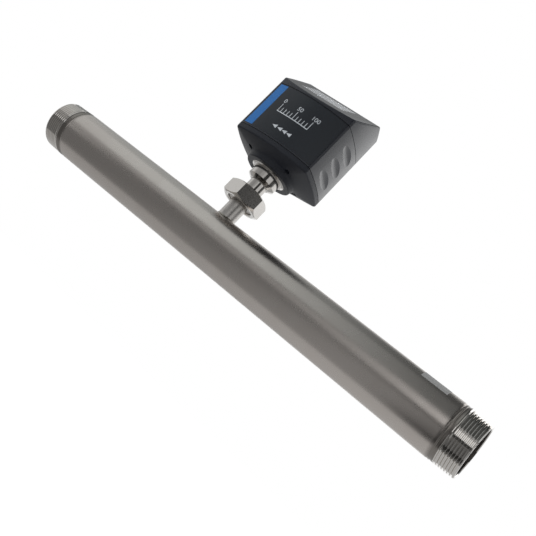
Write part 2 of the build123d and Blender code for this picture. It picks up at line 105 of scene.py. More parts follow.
# Stainless tube, cold drawn, welded and pickled: a soft satin that blurs reflections, with
# a slightly cloudy gloss from the acid and faint rings from the polishing belt. Beside each
# thread the base colour darkens over the tool's rings: painted shade in the grooves
drawnTube = {"colour": "#cac4bf", "metallic": 1.0, "roughness": 0.27, "dullColour": "#c6bfb9",
             "cloudSize": 16.0, "cloudRange": (0.3, 0.7), "roughnessLow": 0.26, "roughnessHigh": 0.29,
             "beltPitch": 0.9, "beltDepth": 0.0006, "stretch": (1.0, 0.04, 0.04),
             "ringShadeColour": "#8c8782", "ringShadeStart": 212.0, "ringShadeFull": 215.5}
drawnTubeSteel, tree, surface, mmPlace = newFinish("pickledDrawnStainless", drawnTube)
cloud = addNode(tree, "ShaderNodeTexNoise", {"Scale": 1 / drawnTube["cloudSize"], "Detail": 2.0},
                {"Vector": mmPlace})
tint = addNode(tree, "ShaderNodeMix", {"data_type": "RGBA", 6: toLinear(drawnTube["colour"]),
                                       7: toLinear(drawnTube["dullColour"])},
               {0: cloud.outputs["Fac"]})
axes = addNode(tree, "ShaderNodeSeparateXYZ", {}, {0: mmPlace})
fromMiddle = addNode(tree, "ShaderNodeMath", {"operation": "SUBTRACT", 1: (pipeLow[0] + pipeHigh[0]) / 2},
                     {0: axes.outputs["X"]})
reach = addNode(tree, "ShaderNodeMath", {"operation": "ABSOLUTE"}, {0: fromMiddle.outputs["Value"]})
# Painted shade: towards each end, over the tool rings and the thread's last stretch, the base colour
# darkens
unpolished = addNode(tree, "ShaderNodeMapRange", {"From Min": drawnTube["ringShadeStart"],
                                                  "From Max": drawnTube["ringShadeFull"]},
                     {"Value": reach.outputs["Value"]})
ringTint = addNode(tree, "ShaderNodeMix", {"data_type": "RGBA",
                                           7: toLinear(drawnTube["ringShadeColour"])},
                   {0: unpolished.outputs["Result"], 6: tint.outputs[2]})
tree.links.new(ringTint.outputs[2], surface.inputs["Base Color"])
gloss = addNode(tree, "ShaderNodeMapRange", {"From Min": drawnTube["cloudRange"][0],
                                             "From Max": drawnTube["cloudRange"][1],
                                             "To Min": drawnTube["roughnessLow"],
                                             "To Max": drawnTube["roughnessHigh"]},
                {"Value": cloud.outputs["Fac"]})
tree.links.new(gloss.outputs["Result"], surface.inputs["Roughness"])
# the real belt marks are 0.1 mm apart, drawn coarser so that they show
alongBelt = addNode(tree, "ShaderNodeVectorMath", {"operation": "MULTIPLY", 1: drawnTube["stretch"]},
                    {0: mmPlace})
belt = addNode(tree, "ShaderNodeTexNoise", {"Scale": 1 / drawnTube["beltPitch"], "Detail": 3.0},
               {"Vector": alongBelt.outputs["Vector"]})
beltBump = addNode(tree, "ShaderNodeBump", {"Distance": drawnTube["beltDepth"] * mm},
                   {"Height": belt.outputs["Fac"]})
tree.links.new(beltBump.outputs["Normal"], surface.inputs["Normal"])

# The same steel where the die has just cut it: bright flanks with sharp reflections
cutThread = {"colour": "#dad7d3", "metallic": 1.0, "roughness": 0.1, "stretch": (1.0, 0.1, 0.1),
             "markPitch": 0.7, "markDepth": 0.0008}
# Stainless bar turned and polished on the lathe: near mirror, with fine rings round the axis
turnedBar = {"colour": "#c6c3bf", "metallic": 1.0, "roughness": 0.13, "stretch": (0.03, 0.03, 1.0),
             "markPitch": 0.45, "markDepth": 0.0012}
# The socket's bar as it leaves the lathe, brushed once after welding: soft broad highlights
brushedBar = {"colour": "#c3c0bc", "metallic": 1.0, "roughness": 0.36, "stretch": (0.05, 0.05, 1.0),
              "markPitch": 0.7, "markDepth": 0.002}
# Hexagon bar, drawn flats with turned chamfers: smooth flats that mirror one tone each. Its
# 0.8 mm grain is drawn out to 9 mm
drawnHex = {"colour": "#cac7c3", "metallic": 1.0, "roughness": 0.19, "stretch": (1.0, 1.0, 0.8 / 9.0),
            "markPitch": 0.8, "markDepth": 0.0002}
# Turned brass under bright nickel: warm silver, tool rings still showing through
nickelShell = {"colour": "#c9c2b4", "metallic": 1.0, "roughness": 0.2, "stretch": (0.05, 1.0, 0.05),
               "markPitch": 0.5, "markDepth": 0.003}
# the real tool marks are 0.05 to 0.2 mm apart, drawn coarser so that they show
toolMarked = []
for name, look in (("dieCutStainless", cutThread), ("polishedTurnedStainless", turnedBar),
                   ("brushedMachinedStainless", brushedBar), ("drawnHexStainless", drawnHex),
                   ("nickelPlatedBrass", nickelShell)):
    finish, tree, surface, mmPlace = newFinish(name, look)
    drawnOut = addNode(tree, "ShaderNodeVectorMath", {"operation": "MULTIPLY", 1: look["stretch"]},
                       {0: mmPlace})
    marks = addNode(tree, "ShaderNodeTexNoise", {"Scale": 1 / look["markPitch"], "Detail": 2.0},
                    {"Vector": drawnOut.outputs["Vector"]})
    markBump = addNode(tree, "ShaderNodeBump", {"Distance": look["markDepth"] * mm},
                       {"Height": marks.outputs["Fac"]})
    tree.links.new(markBump.outputs["Normal"], surface.inputs["Normal"])
    toolMarked.append(finish)
cutThreadSteel, turnedBarSteel, brushedBarSteel, drawnHexSteel, nickelBrass = toolMarked

# Disc faced on the lathe: rings that fan the light round the centre
facedDisc = {"colour": "#c6c3bf", "metallic": 1.0, "roughness": 0.18, "ringPitch": 0.6,
             "ringDepth": 0.0015}
# Machined black PEEK plug: satin, with fine tool rings
peekLook = {"colour": "#3e3c3a", "roughness": 0.45, "ringPitch": 0.5, "ringDepth": 0.006}
# both are marked in rings round the shaft's axis
faced = []
for name, look in (("facedStainless", facedDisc), ("machinedPeek", peekLook)):
    finish, tree, surface, mmPlace = newFinish(name, look)
    flatPlace = addNode(tree, "ShaderNodeVectorMath", {"operation": "MULTIPLY", 1: (1.0, 1.0, 0.0)},
                        {0: mmPlace})
    fromAxis = addNode(tree, "ShaderNodeVectorMath", {"operation": "LENGTH"},
                       {0: flatPlace.outputs["Vector"]})
    rings = addNode(tree, "ShaderNodeTexNoise", {"noise_dimensions": "1D", "Detail": 2.0,
                                                 "Scale": 1 / look["ringPitch"]},
                    {"W": fromAxis.outputs["Value"]})
    ringBump = addNode(tree, "ShaderNodeBump", {"Distance": look["ringDepth"] * mm},
                       {"Height": rings.outputs["Fac"]})
    tree.links.new(ringBump.outputs["Normal"], surface.inputs["Normal"])
    faced.append(finish)
facedDiscSteel, headerPeek = faced

# Steel frosted by the marking laser: a pale matt field with the beam's fine hatch. The real
# hatch is 0.05 mm apart, drawn coarser so that it shows; waveLength is the wave's at scale 1
laserMark = {"colour": "#a9a8a6", "metallic": 0.45, "roughness": 0.62, "hatchColour": "#9b9a98",
             "hatchPitch": 0.9, "waveLength": 0.314, "waver": 0.6}
laserMarkSteel, tree, surface, mmPlace = newFinish("laserFrostedStainless", laserMark)
hatch = addNode(tree, "ShaderNodeTexWave", {"bands_direction": "X", "Distortion": laserMark["waver"],
                                            "Scale": laserMark["waveLength"] / laserMark["hatchPitch"]},
                {"Vector": mmPlace})
hatchTint = addNode(tree, "ShaderNodeMix", {"data_type": "RGBA", 6: toLinear(laserMark["colour"]),
                                            7: toLinear(laserMark["hatchColour"])},
                    {0: hatch.outputs["Fac"]})
tree.links.new(hatchTint.outputs[2], surface.inputs["Base Color"])

# Zinc-plated cross-head screws: bluish satin with small dull spots
zincScrew = {"colour": "#b9bdc2", "metallic": 1.0, "roughness": 0.3, "spotSize": 0.8,
             "spotRoughness": 0.45, "spotRange": (0.35, 0.65)}
# Contact pins flashed with gold: smooth, rich yellow, a little uneven
goldPin = {"colour": "#e0b45a", "metallic": 1.0, "roughness": 0.2, "spotSize": 0.6,
           "spotRoughness": 0.28, "spotRange": (0.0, 1.0)}
plated = []
for name, look in (("zincPlatedSteel", zincScrew), ("goldFlashedBrass", goldPin)):
    finish, tree, surface, mmPlace = newFinish(name, look)
    spots = addNode(tree, "ShaderNodeTexNoise", {"Scale": 1 / look["spotSize"], "Detail": 2.0},
                    {"Vector": mmPlace})
    spotGloss = addNode(tree, "ShaderNodeMapRange", {"From Min": look["spotRange"][0],
                                                     "From Max": look["spotRange"][1],
                                                     "To Min": look["roughness"],
                                                     "To Max": look["spotRoughness"]},
                        {"Value": spots.outputs["Fac"]})
    tree.links.new(spotGloss.outputs["Result"], surface.inputs["Roughness"])
    plated.append(finish)
zincScrewSteel, goldContact = plated
print("metals made")

# ABS and PC blend moulded against a spark-eroded tool: charcoal, satin, with a fine pebble
# that softens reflections; handling has polished it in faint patches
mouldedShell = {"colour": "#191c24", "paleColour": "#1d2028", "roughness": 0.27, "ior": 1.54,
                "pebbleSize": 0.8, "pebbleDepth": 0.004, "patchSize": 22.0, "patchRange": (0.35, 0.65),
                "roughnessLow": 0.25, "roughnessHigh": 0.29}
# The base comes from another tool with a coarser spark finish: flatter and darker
mouldedBase = {"colour": "#161a24", "paleColour": "#1a1e27", "roughness": 0.5, "ior": 1.46,
               "pebbleSize": 1.0, "pebbleDepth": 0.01}
# the tools' pebble is 0.15 mm across, drawn coarser so that it shows
moulded = []
for name, look in (("sparkErodedAbs", mouldedShell), ("coarseSparkErodedAbs", mouldedBase)):
    finish, tree, surface, mmPlace = newFinish(name, look)
    pebble = addNode(tree, "ShaderNodeTexNoise", {"Scale": 1 / look["pebbleSize"], "Detail": 3.0},
                     {"Vector": mmPlace})
    pebbleTint = addNode(tree, "ShaderNodeMix", {"data_type": "RGBA", 6: toLinear(look["colour"]),
                                                 7: toLinear(look["paleColour"])},
                         {0: pebble.outputs["Fac"]})
    pebbleBump = addNode(tree, "ShaderNodeBump", {"Distance": look["pebbleDepth"] * mm},
                         {"Height": pebble.outputs["Fac"]})
    tree.links.new(pebbleTint.outputs[2], surface.inputs["Base Color"])
    tree.links.new(pebbleBump.outputs["Normal"], surface.inputs["Normal"])
    if "patchSize" in look:
        patches = addNode(tree, "ShaderNodeTexNoise", {"Scale": 1 / look["patchSize"], "Detail": 2.0},
                          {"Vector": mmPlace})
        patchGloss = addNode(tree, "ShaderNodeMapRange", {"From Min": look["patchRange"][0],
                                                          "From Max": look["patchRange"][1],
                                                          "To Min": look["roughnessLow"],
                                                          "To Max": look["roughnessHigh"]},
                             {"Value": patches.outputs["Fac"]})
        tree.links.new(patchGloss.outputs["Result"], surface.inputs["Roughness"])
    moulded.append(finish)
mouldedPlastic, basePlastic = moulded

# Polyester label, printed on its back and lightly matted in front: even blue-black, soft sheen
labelSkin = {"colour": "#0e161f", "roughness": 0.3, "ior": 1.55, "grainSize": 1.1, "grainDepth": 0.0015}
labelFilm, tree, surface, mmPlace = newFinish("mattedPolyesterFilm", labelSkin)
matting = addNode(tree, "ShaderNodeTexVoronoi", {"Scale": 1 / labelSkin["grainSize"]},
                  {"Vector": mmPlace})
mattingBump = addNode(tree, "ShaderNodeBump", {"Distance": labelSkin["grainDepth"] * mm},
                      {"Height": matting.outputs["Distance"]})
tree.links.new(mattingBump.outputs["Normal"], surface.inputs["Normal"])

# Polycarbonate front film of the display, satin beside the clear window
panelSkin = {"colour": "#26282b", "roughness": 0.3, "ior": 1.58, "grainSize": 0.9, "grainDepth": 0.004}
panelFilm, tree, surface, mmPlace = newFinish("satinPolycarbonateFilm", panelSkin)
panelGrain = addNode(tree, "ShaderNodeTexNoise", {"Scale": 1 / panelSkin["grainSize"], "Detail": 2.0},
                     {"Vector": mmPlace})
panelBump = addNode(tree, "ShaderNodeBump", {"Distance": panelSkin["grainDepth"] * mm},
                    {"Height": panelGrain.outputs["Fac"]})
tree.links.new(panelBump.outputs["Normal"], surface.inputs["Normal"])

# Acrylic window, hard coated: glossy, with the slow ripple of pressed sheet, and clear enough
# to show the pale display behind it
windowLook = {"colour": "#d2d6da", "roughness": 0.07, "ior": 1.54, "transmission": 0.75,
              "rippleSize": 18.0, "rippleDepth": 0.002}
windowAcrylic, tree, surface, mmPlace = newFinish("hardCoatedAcrylic", windowLook)
surface.inputs["Transmission Weight"].default_value = windowLook["transmission"]
ripple = addNode(tree, "ShaderNodeTexNoise", {"Scale": 1 / windowLook["rippleSize"]}, {"Vector": mmPlace})
rippleBump = addNode(tree, "ShaderNodeBump", {"Distance": windowLook["rippleDepth"] * mm},
                     {"Height": ripple.outputs["Fac"]})
tree.links.new(rippleBump.outputs["Normal"], surface.inputs["Normal"])

# Display module: pale grey liquid crystal face with the polariser's faint streaks
crystalFace = {"colour": "#cbd1d2", "deepColour": "#bec4c6", "roughness": 0.3, "streakPitch": 0.9,
               "stretch": (1.0, 0.05, 0.05)}
displayFace, tree, surface, mmPlace = newFinish("liquidCrystalFace", crystalFace)
acrossFace = addNode(tree, "ShaderNodeVectorMath", {"operation": "MULTIPLY", 1: crystalFace["stretch"]},
                     {0: mmPlace})
streaks = addNode(tree, "ShaderNodeTexNoise", {"Scale": 1 / crystalFace["streakPitch"]},
                  {"Vector": acrossFace.outputs["Vector"]})
faceTint = addNode(tree, "ShaderNodeMix", {"data_type": "RGBA", 6: toLinear(crystalFace["colour"]),
                                           7: toLinear(crystalFace["deepColour"])},
                   {0: streaks.outputs["Fac"]})
tree.links.new(faceTint.outputs[2], surface.inputs["Base Color"])

# Glass-fibre board under green solder resist: glossy, the cloth's weave just showing
boardLook = {"colour": "#1f5a35", "weaveColour": "#2b6b41", "roughness": 0.28, "threadPitch": 1.0}
boardLaminate, tree, surface, mmPlace = newFinish("resistCoatedFibreglass", boardLook)
cloth = addNode(tree, "ShaderNodeTexChecker", {"Scale": 1 / boardLook["threadPitch"],
                                               "Color1": toLinear(boardLook["colour"]),
                                               "Color2": toLinear(boardLook["weaveColour"])},
                {"Vector": mmPlace})
tree.links.new(cloth.outputs["Color"], surface.inputs["Base Color"])

# TIG bead, pickled with the tube: satin ripples, a trace of straw left by the heat
weldBeadLook = {"colour": "#aeaaa4", "secondColour": "#a09a8e", "metallic": 1.0, "roughness": 0.34,
                "spotSize": 2.5, "detail": 3.0}
# Screen-printed inks seen through the film: dense and even, edges crisp
blueInkLook = {"colour": "#0864aa", "secondColour": "#085fa2", "roughness": 0.34, "ior": 1.42,
               "spotSize": 1.6, "detail": 4.0}
silverInkLook = {"colour": "#c2c6ca", "secondColour": "#b2b6ba", "roughness": 0.38, "ior": 1.6,
                 "spotSize": 1.2, "detail": 4.0}
# Moulded EPDM: near black, matt, dusted by its own bloom
rubberLook = {"colour": "#19191a", "secondColour": "#242425", "roughness": 0.7, "spotSize": 1.5,
              "detail": 4.0}
# Alumina sensing elements under a thin glass glaze: ivory, wet-looking, faintly speckled
glazeLook = {"colour": "#e4dfd2", "secondColour": "#d3cbb8", "roughness": 0.14, "ior": 1.52,
             "spotSize": 0.5, "detail": 2.0}
# Glass-filled nylon of the connector inserts: black with pale fibre flecks
insertLook = {"colour": "#1b1b1c", "secondColour": "#303032", "roughness": 0.5, "spotSize": 0.5,
              "detail": 3.0}
# each goes softly between its two colours in spots of its own size
spotted = []
for name, look in (("brushedWeldStainless", weldBeadLook), ("screenPrintedBlue", blueInkLook),
                   ("screenPrintedSilver", silverInkLook), ("mouldedEpdm", rubberLook),
                   ("glazedAlumina", glazeLook), ("glassFilledNylon", insertLook)):
    finish, tree, surface, mmPlace = newFinish(name, look)
    spots = addNode(tree, "ShaderNodeTexNoise", {"Scale": 1 / look["spotSize"], "Detail": look["detail"]},
                    {"Vector": mmPlace})
    spotTint = addNode(tree, "ShaderNodeMix", {"data_type": "RGBA", 6: toLinear(look["colour"]),
                                               7: toLinear(look["secondColour"])},
                       {0: spots.outputs["Fac"]})
    tree.links.new(spotTint.outputs[2], surface.inputs["Base Color"])
    spotted.append(finish)
weldBeadSteel, blueInk, silverInk, sealRubber, glazedAlumina, insertNylon = spotted
print("plastics, films, inks and the rest made")

# which finish each node that keeps its own shape gets
nodeFinishes = {
    turnedBarSteel: ["key_pin", "probe_shank", "guard_tube", "stop_collar"],
    drawnHexSteel: ["union_nut", "lock_nut"],
    facedDiscSteel: ["base_disc"],
    mouldedPlastic: ["housing_body", "housing_hood"],
    basePlastic: ["housing_base"],
    labelFilm: ["front_label"],
    panelFilm: ["display_panel"],
    windowAcrylic: ["display_window"],
    displayFace: ["display_module"],
    boardLaminate: ["display_board", "main_board"],
    zincScrewSteel: ["display_screws", "board_screws", "housing_screws"],
    sealRubber: ["spigot_seal", "base_seal", "lower_gasket", "upper_gasket",
                 "connector_seal_left", "connector_seal_right"],
    headerPeek: ["sensor_header"],
    glazedAlumina: ["heated_element", "reference_element"],
    insertNylon: ["connector_insert_left", "connector_insert_right"],
    goldContact: ["connector_contacts_left", "connector_contacts_right"],
    nickelBrass: ["connector_nut_left", "connector_nut_right"],
}
for finish, names in nodeFinishes.items():
    for name in names:
        for slot in nodes[name].material_slots:
            slot.material = finish
print("nodes finished")

# points within mergeDistance become one, faces thinner than thinnestFace go, and an edge is
# sharp where its faces turn by more than sharpAngle
mergeDistance, thinnestFace, sharpAngle = 0.002 * mm, 0.001 * mm, math.radians(35.0)


def addPiece(name, body, points, faces, finishes, pick=None):
    # a mesh piece from points in millimetres; pick says which finish a face takes by its middle
    mesh = bpy.data.meshes.new(name)
    mesh.from_pydata([Vector(p) * mm for p in points], [], faces)
    work = bmesh.new()
    work.from_mesh(mesh)
    bmesh.ops.remove_doubles(work, verts=work.verts, dist=mergeDistance)
    bmesh.ops.dissolve_degenerate(work, edges=work.edges, dist=thinnestFace)
    bmesh.ops.recalc_face_normals(work, faces=work.faces)
    for face in work.faces:
        face.material_index = pick(face.calc_center_median() / mm) if pick else 0
    work.to_mesh(mesh)
    work.free()
    for finish in finishes:
        mesh.materials.append(finish)
    mesh.shade_smooth()
    mesh.set_sharp_from_angle(angle=sharpAngle)
    piece = addObject(name, mesh)
    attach(piece, body)
    return piece


def evaluatedMesh(item):
    bpy.context.view_layer.update()
    return bpy.data.meshes.new_from_object(item.evaluated_get(bpy.context.evaluated_depsgraph_get()))


def circleAngles(steps):
    return [2 * math.pi * j / steps for j in range(steps)]


def ringsAt(place, profile, angles):
    # a profile is pairs of way along and radius; each gives one ring of points
    return [[place(s, r, a) for a in angles] for s, r in profile]


def joinRings(points, faces, rings):
    # skins neighbouring rings of points with quads
    steps = len(rings[0])
    first = len(points)
    for ring in rings:
        points.extend(ring)
    for i in range(len(rings) - 1):
        for j in range(steps):
            a = first + i * steps
            b = a + steps
            n = (j + 1) % steps
            faces.append((a + j, a + n, b + n, b + j))


# one turn of a thread from crest to crest: share of the pitch, share of the depth
threadForm = [(0.0, 0.0), (0.17, 0.0), (0.36, 1.0), (0.5, 1.0), (0.64, 1.0), (0.83, 0.0), (1.0, 0.0)]
spareTurns = 4  # past the last whole turn, so that the helix covers the end


def threadGrid(place, start, end, pitch, depthAt, crestAt, steps):
    # place gives the point for a way along, a radius and an angle. Rows follow the helix, so
    # that each crest is one clean line from end to end
    def surfaceRadius(s, j):
        phase = ((s - start) / pitch - j / steps) % 1
        for (a, shareA), (b, shareB) in zip(threadForm, threadForm[1:]):
            if phase <= b:
                share = shareA + (shareB - shareA) * (phase - a) / (b - a)
                break
        return crestAt(s) - depthAt(s) * share
    rows = len(threadForm) - 1
    count = rows * (int((end - start) / pitch) + spareTurns)
    points, faces = [], []
    for k in range(-rows, count):
        for j in range(steps):
            s = start + (k // rows + threadForm[k % rows][0] + j / steps) * pitch
            s = min(max(s, start), end)
            points.append(place(s, surfaceRadius(s, j), 2 * math.pi * j / steps))
    total = count + rows
    for k in range(total - 1):
        for j in range(steps):
            shift = rows if j + 1 == steps else 0
            if k + 1 + shift < total:
                nextJ = (j + 1) % steps
                faces.append((k * steps + j, (k + shift) * steps + nextJ,
                              (k + 1 + shift) * steps + nextJ, (k + 1) * steps + j))
    edge = [[place(s, surfaceRadius(s, j), 2 * math.pi * j / steps) for j in range(steps)]
            for s in (start, end)]
    return points, faces, edge[0], edge[1]


# Measuring pipe: taper threads cut on both ends, the socket's hole in the top. Ways along it
# count from each mouth. toolRings are the rings that the threading head leaves, each as way
# past the thread and depth under the tube's surface. Over the lead at its end the thread takes
# the tube's finish with the rings' painted shade; boreSkin and endMargin tell the bore and the blank's end
# faces from the rest
pipe = {"radius": pipeHigh[2], "bore": 20.95, "inletEnd": pipeHigh[0], "outletEnd": pipeLow[0],
        "steps": 160, "threadLength": 18.6, "pitch": 2.309, "depth": 1.2, "taper": 1 / 16,
        "mouthRadius": 23.5046, "mouthChamfer": 0.5, "boreChamfer": 0.6,
        "leadIn": 0.3, "leadLength": 1.5, "leadOut": 0.7, "fadeTurns": 1.8,
        "toolRings": [(1.2, 0.55), (2.2, 0.55), (2.7, 0.15), (3.2, 0.15), (3.6, 0.4), (4.3, 0.4),
                      (4.8, 0.15), (5.5, 0.0)],
        "ringsEnd": 24.6, "shadedLead": 0.6, "boreSkin": 0.1,
        "holeRadius": 7.05, "holeReach": 14.0, "holeSteps": 64, "endMargin": 0.01}


def inletPlace(s, r, a):
    return (pipe["inletEnd"] - s, r * math.sin(a), r * math.cos(a))


def outletPlace(s, r, a):
    return (pipe["outletEnd"] + s, r * math.cos(a), r * math.sin(a))


def pipeCrest(s):
    onCone = pipe["mouthRadius"] + s * pipe["taper"] / 2
    chamfered = pipe["mouthRadius"] - pipe["mouthChamfer"] + s
    return min(onCone, chamfered, pipe["radius"])


def pipeDepth(s):
    # the die's lead leaves the first and the last turns shallower
    lastTurns = (pipe["threadLength"] + pipe["leadOut"] - s) / (pipe["fadeTurns"] * pipe["pitch"])
    firstTurn = (s - pipe["leadIn"]) / pipe["leadLength"]
    return pipe["depth"] * min(1.0, max(0.0, lastTurns)) * min(1.0, max(0.0, firstTurn))


def pipePick(middle):
    radius = math.hypot(middle.y, middle.z)
    fromEnd = min(pipe["inletEnd"] - middle.x, middle.x - pipe["outletEnd"])
    # the thread's last stretch takes the tube's finish, with its painted shade
    bright = fromEnd < pipe["threadLength"] - pipe["shadedLead"]
    return 1 if bright and radius > pipe["bore"] + pipe["boreSkin"] else 0


angles = circleAngles(pipe["steps"])
pipePoints, pipeFaces = [], []
for place in (inletPlace, outletPlace):
    points, faces, mouth, inner = threadGrid(place, 0.0, pipe["threadLength"], pipe["pitch"],
                                             pipeDepth, pipeCrest, pipe["steps"])
    first = len(pipePoints)
    pipePoints += points
    pipeFaces += [tuple(i + first for i in face) for face in faces]
    outside = [(pipe["threadLength"] + past, pipe["radius"] - deep) for past, deep in pipe["toolRings"]]
    outside.append((pipe["ringsEnd"], pipe["radius"]))
    joinRings(pipePoints, pipeFaces, [inner] + ringsAt(place, outside, angles))
    inside = [(0.0, pipe["bore"] + pipe["boreChamfer"]), (pipe["boreChamfer"], pipe["bore"]),
              (pipe["ringsEnd"], pipe["bore"])]
    joinRings(pipePoints, pipeFaces, [mouth] + ringsAt(place, inside, angles))

# the plain middle is a closed tube while the hole is cut, then its end faces go
low, high = pipe["outletEnd"] + pipe["ringsEnd"], pipe["inletEnd"] - pipe["ringsEnd"]
tubePoints, tubeFaces = [], []
stations = [(low, "radius"), (-pipe["holeReach"], "radius"), (pipe["holeReach"], "radius"),
            (high, "radius"), (high, "bore"), (pipe["holeReach"], "bore"),
            (-pipe["holeReach"], "bore"), (low, "bore"), (low, "radius")]
joinRings(tubePoints, tubeFaces,
          [[(x, pipe[key] * math.cos(a), pipe[key] * math.sin(a)) for a in angles] for x, key in stations])
tubeMesh = bpy.data.meshes.new("tubeBlank")
tubeMesh.from_pydata([Vector(p) * mm for p in tubePoints], [], tubeFaces)
work = bmesh.new()
work.from_mesh(tubeMesh)
bmesh.ops.remove_doubles(work, verts=work.verts, dist=mergeDistance)
bmesh.ops.recalc_face_normals(work, faces=work.faces)
work.to_mesh(tubeMesh)
work.free()
drillMesh = bpy.data.meshes.new("drill")
work = bmesh.new()
bmesh.ops.create_cone(work, cap_ends=True, segments=pipe["holeSteps"], radius1=pipe["holeRadius"] * mm,
                      radius2=pipe["holeRadius"] * mm, depth=pipe["radius"] * mm,
                      matrix=Matrix.Translation((0, 0, pipe["radius"] * mm)))
work.to_mesh(drillMesh)
work.free()
tubeBlank, drill = addObject("tubeBlank", tubeMesh), addObject("drill", drillMesh)
cut = tubeBlank.modifiers.new("hole", "BOOLEAN")
cut.operation, cut.object, cut.solver = "DIFFERENCE", drill, "EXACT"
drilled = evaluatedMesh(tubeBlank)
first = len(pipePoints)
pipePoints += [v.co / mm for v in drilled.vertices]
for polygon in drilled.polygons:
    xs = [drilled.vertices[i].co.x / mm for i in polygon.vertices]
    if max(xs) > low + pipe["endMargin"] and min(xs) < high - pipe["endMargin"]:
        pipeFaces.append(tuple(first + i for i in polygon.vertices))
for temporary in (tubeBlank, drill):
    bpy.data.objects.remove(temporary)
threadedPipe = addPiece("threaded_pipe", "pipe_section", pipePoints, pipeFaces,
                        [drawnTubeSteel, cutThreadSteel], pipePick)
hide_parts("measuring_pipe")
print("pipe threaded and drilled")

# Frosted field that the marking laser leaves near the inlet, kept plain: its ends along the
# pipe, and the angles round it from the front up and over
field = {"start": 215.5, "end": 238.5, "from": 44.0, "to": 136.0, "stand": 0.012, "columns": 46}
fieldPoints, fieldFaces = [], []
for x in (field["start"], field["end"]):
    for j in range(field["columns"] + 1):
        a = math.radians(field["from"] + (field["to"] - field["from"]) * j / field["columns"])
        r = pipe["radius"] + field["stand"]
        fieldPoints.append((x, -r * math.cos(a), r * math.sin(a)))
for j in range(field["columns"]):
    above = field["columns"] + 1 + j
    fieldFaces.append((j, j + 1, above + 1, above))
addPiece("laser_field", "pipe_section", fieldPoints, fieldFaces, [laserMarkSteel])

# Welded socket with its union thread. The thread starts shallow, at startShare of its depth,
# and is at full depth a little way on
socketHigh = nodeBox("weld_socket")[1]
socket = {"bore": pipe["holeRadius"], "neck": 8.6, "headBottom": 42.4, "top": socketHigh[2],
          "crest": socketHigh[0], "relief": 0.8, "pitch": 1.814, "depth": 1.1, "startShare": 0.25,
          "startLength": 1.2, "neckChamfer": 0.35, "lidChamfer": 0.4, "boreChamfer": 0.3,
          "steps": 96, "sink": 0.4}
threadBottom, threadTop = socket["headBottom"] + socket["relief"], socket["top"] - socket["relief"]


def uprightPlace(s, r, a):
    return (r * math.cos(a), r * math.sin(a), s)


def saddle(r, a):
    # height of the pipe's surface at a point round the socket
    return math.sqrt(pipe["radius"] ** 2 - (r * math.sin(a)) ** 2)


def socketDepth(s):
    share = (s - threadBottom) / socket["startLength"] + socket["startShare"]
    return socket["depth"] * min(1.0, share)


def socketCrest(s):
    return socket["crest"]


def socketPick(middle):
    onThread = threadBottom < middle.z < threadTop
    return 1 if onThread and math.hypot(middle.x, middle.y) > socket["neck"] else 0


socketAngles = circleAngles(socket["steps"])
socketPoints, socketFaces, lowRing, highRing = threadGrid(
    uprightPlace, threadBottom, threadTop, socket["pitch"], socketDepth, socketCrest, socket["steps"])
under = [[uprightPlace(saddle(r, a) - socket["sink"], r, a) for a in socketAngles]
         for r in (socket["bore"], socket["neck"])]
ledge = [(socket["headBottom"] - socket["neckChamfer"], socket["neck"]),
         (socket["headBottom"], socket["neck"] + socket["neckChamfer"]),
         (socket["headBottom"], socket["crest"] - socket["relief"])]
lid = [(socket["top"], socket["crest"] - socket["relief"] - socket["lidChamfer"]),
       (socket["top"], socket["bore"] + socket["boreChamfer"]),
       (socket["top"] - socket["boreChamfer"], socket["bore"])]
joinRings(socketPoints, socketFaces, under + ringsAt(uprightPlace, ledge, socketAngles) + [lowRing])
joinRings(socketPoints, socketFaces, [highRing] + ringsAt(uprightPlace, lid, socketAngles) + [under[0]])
threadedSocket = addPiece("threaded_socket", "pipe_section", socketPoints, socketFaces,
                          [brushedBarSteel, cutThreadSteel], socketPick)
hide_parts("weld_socket")

# Weld bead round the socket's foot: a rippled quarter round, widthShare as wide as it is high.
# Its outer ring is sunk a little, so that no gap shows under it
bead = {"leg": 1.05, "ripple": 0.09, "ripples": 44, "steps": 264, "rings": 7, "widthShare": 0.98,
        "sink": 0.15}
beadPoints, beadFaces, beadRings = [], [], []
for part in range(bead["rings"]):
    turn = math.radians(90 * part / (bead["rings"] - 1))
    sink = bead["sink"] if part == 0 else 0.0
    ring = []
    for a in circleAngles(bead["steps"]):
        leg = bead["leg"] + bead["ripple"] * abs(math.sin(a * bead["ripples"] / 2))
        out = socket["neck"] + leg * (1 - math.sin(turn)) * bead["widthShare"]
        up = leg * (1 - math.cos(turn))
        ring.append((out * math.cos(a), out * math.sin(a), saddle(out, a) + up - sink))
    beadRings.append(ring)
joinRings(beadPoints, beadFaces, beadRings)
addPiece("weld_bead", "pipe_section", beadPoints, beadFaces, [weldBeadSteel])
print("socket welded")

# M12 connector shells on the back, with their coupling threads, each in its node's place.
# flangeAt and padAt count from the mouth inwards; the seat is the hollow for the O-ring
shell = {"crest": 6.0, "bore": 4.8, "flangeAt": 8.5, "padAt": 11.5, "pitch": 1.0, "depth": 0.6,
         "steps": 64, "chamfer": 0.6, "relief": 0.6, "fade": 0.9, "endShare": 0.1, "undercut": 0.1,
         "flangeChamfer": 0.35, "seatOuter": 1.3, "seatInner": 0.6, "seatDepth": 0.7,
         "boreChamfer": 0.25}
shellThreadEnd = shell["flangeAt"] - shell["relief"]


def shellPlace(x, mouthY, z):
    # s counts from the mouth inwards, towards -Y
    def place(s, r, a):
        return (x + r * math.cos(a), mouthY - s, z + r * math.sin(a))
    return place


def shellDepth(s):
    # the thread runs out before the flange
    return shell["depth"] * min(1.0, (shellThreadEnd - s) / shell["fade"] + shell["endShare"])


def shellCrest(s):
    return min(shell["crest"], shell["crest"] - shell["chamfer"] + s)


